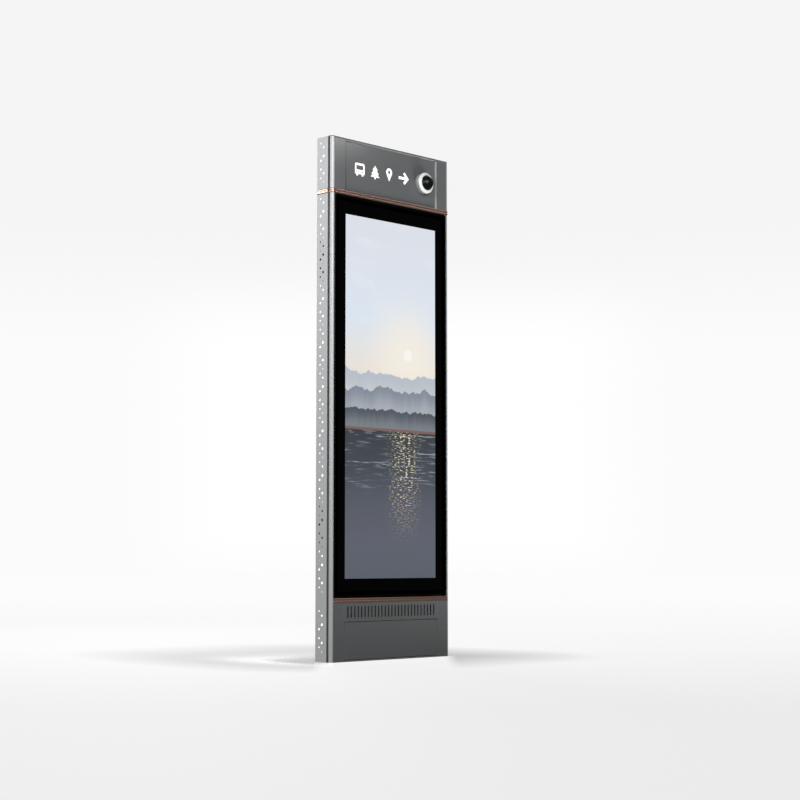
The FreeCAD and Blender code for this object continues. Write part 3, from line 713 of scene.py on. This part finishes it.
floor_mesh = bpy.data.meshes.new("floor")
floor_mesh.from_pydata(
    [(-floor_half, -floor_half, 0.0), (floor_half, -floor_half, 0.0),
     (floor_half, floor_half, 0.0), (-floor_half, floor_half, 0.0)],
    [], [(0, 1, 2, 3)],
)
floor = bpy.data.objects.new("floor", floor_mesh)
bpy.context.scene.collection.objects.link(floor)
floor_finish, shader, place = new_finish("floor")
away = place.along("X") * away_x + place.along("Y") * away_y
tone = away.node(
    "ShaderNodeValToRGB",
    {"stops": [
        (0.0, (0.815, 0.815, 0.815)), (0.15, (0.82, 0.82, 0.82)), (0.26, (0.87, 0.87, 0.87)),
        (0.34, (0.90, 0.90, 0.90)), (0.50, (0.935, 0.935, 0.935)), (1.0, (0.965, 0.965, 0.965)),
    ]},
    {"Fac": (away + 6.5) / 22.0},
)
beside = (abs(place.along("X")) - foot_half[0]).most(0.0)
ahead = (abs(place.along("Y")) - foot_half[1]).most(0.0)
ahead = ahead * place.along("Y").ramp(-0.1, 0.1, 1.0, 0.45)
gap = (beside * beside + ahead * ahead).root()
aside = place.along("X") * away_y - place.along("Y") * away_x
open_front = abs(aside - 0.02).ramp(0.39, 0.30) * place.along("Y").ramp(-0.02, -0.10)
shade = gap.node(
    "ShaderNodeMapRange", None,
    {"Value": gap, "From Min": 0.0, "From Max": shade_reach, "To Min": shade_most, "To Max": 0.0},
) * (1.0 - open_front)
feed(
    shader, Base_Color=(0.0, 0.0, 0.0), Specular_IOR_Level=0.10,
    Roughness=gap.ramp(0.0, 0.5, 0.14, 0.85),
    Emission_Color=shade.between(tone, (0.0, 0.0, 0.0)), Emission_Strength=1.0,
)
floor_mesh.materials.append(floor_finish)
floor.visible_diffuse = False
floor.visible_glossy = False

# Surround
# A wide bright shell stands behind everything, whitest at the middle and a little greyer
# higher up.
shell_radius = 60.0

surround_mesh = bpy.data.meshes.new("surround")
form = bmesh.new()
bmesh.ops.create_uvsphere(form, u_segments=64, v_segments=32, radius=shell_radius)
form.to_mesh(surround_mesh)
form.free()
for face in surround_mesh.polygons:
    face.use_smooth = True
surround = bpy.data.objects.new("surround", surround_mesh)
bpy.context.scene.collection.objects.link(surround)
surround_finish, shader, place = new_finish("surround")
height = place.along("Z") / shell_radius
sideways = abs(place.along("X") * away_y - place.along("Y") * away_x) / shell_radius
lift = height.ramp(0.13, 0.235)
middle = sideways.ramp(0.19, 0.10) * height.ramp(0.20, 0.14) * height.ramp(-0.02, 0.03)
glow = lift.between((0.965, 0.965, 0.965), (0.912, 0.912, 0.912))
feed(
    shader, Base_Color=(0.0, 0.0, 0.0), Specular_IOR_Level=0.0, Emission_Strength=1.0,
    Emission_Color=middle.between(glow, (1.0, 1.0, 1.0)),
)
surround_mesh.materials.append(surround_finish)
surround.visible_diffuse = False
surround.visible_glossy = False
surround.visible_shadow = False

# Light
# Dim all round. Large soft lights stand on the left, before and behind the cabinet's
# plane, one before the left front corner, one on the floor in front and one behind. Two
# weak ones on the right mirror in the trims and in the header's left top corner.
world = bpy.data.worlds.new("studio")
world.use_nodes = True
sky = world.node_tree.nodes["Background"]
sky.inputs["Color"].default_value = (0.115, 0.115, 0.116, 1.0)
sky.inputs["Strength"].default_value = 1.0
bpy.context.scene.world = world

# Each light: its name, where it stands, where it aims, its width in metres, its watts
# and the angle over which it spreads.
lights = (
    ("left_behind", (-6.3, 5.0, 4.4), (-0.4, 0.0, 2.2), 3.4, 225.0, 180.0),
    ("left", (-7.0, -1.6, 3.8), (-0.4, 0.0, 1.8), 3.4, 210.0, 180.0),
    ("left_front", (-3.5, -6.5, 4.4), (0.0, 0.0, 1.6), 3.0, 430.0, 180.0),
    ("floor_front", (1.6, -1.9, 0.03), (1.6, -1.9, 3.0), 1.8, 120.0, 180.0),
    ("right_high", (3.8, -2.2, 5.0), (0.0, 0.0, 1.6), 1.6, 6.0, 180.0),
    ("head", (1.17, -1.80, 3.55), (-0.60, -0.05, 3.04), 0.5, 0.20, 30.0),
    ("behind", (2.5, 5.5, 3.4), (0.0, 0.0, 1.5), 3.0, 260.0, 180.0),
)
for name, spot, aim, width, power, fan in lights:
    lamp = bpy.data.lights.new(name, "AREA")
    lamp.spread = math.radians(fan)
    lamp.size = width
    lamp.energy = power
    holder = bpy.data.objects.new(name, lamp)
    holder.location = spot
    holder.rotation_euler = (Vector(aim) - Vector(spot)).to_track_quat("-Z", "Y").to_euler()
    holder.visible_camera = False
    holder.visible_glossy = name != "floor_front"
    bpy.context.scene.collection.objects.link(holder)
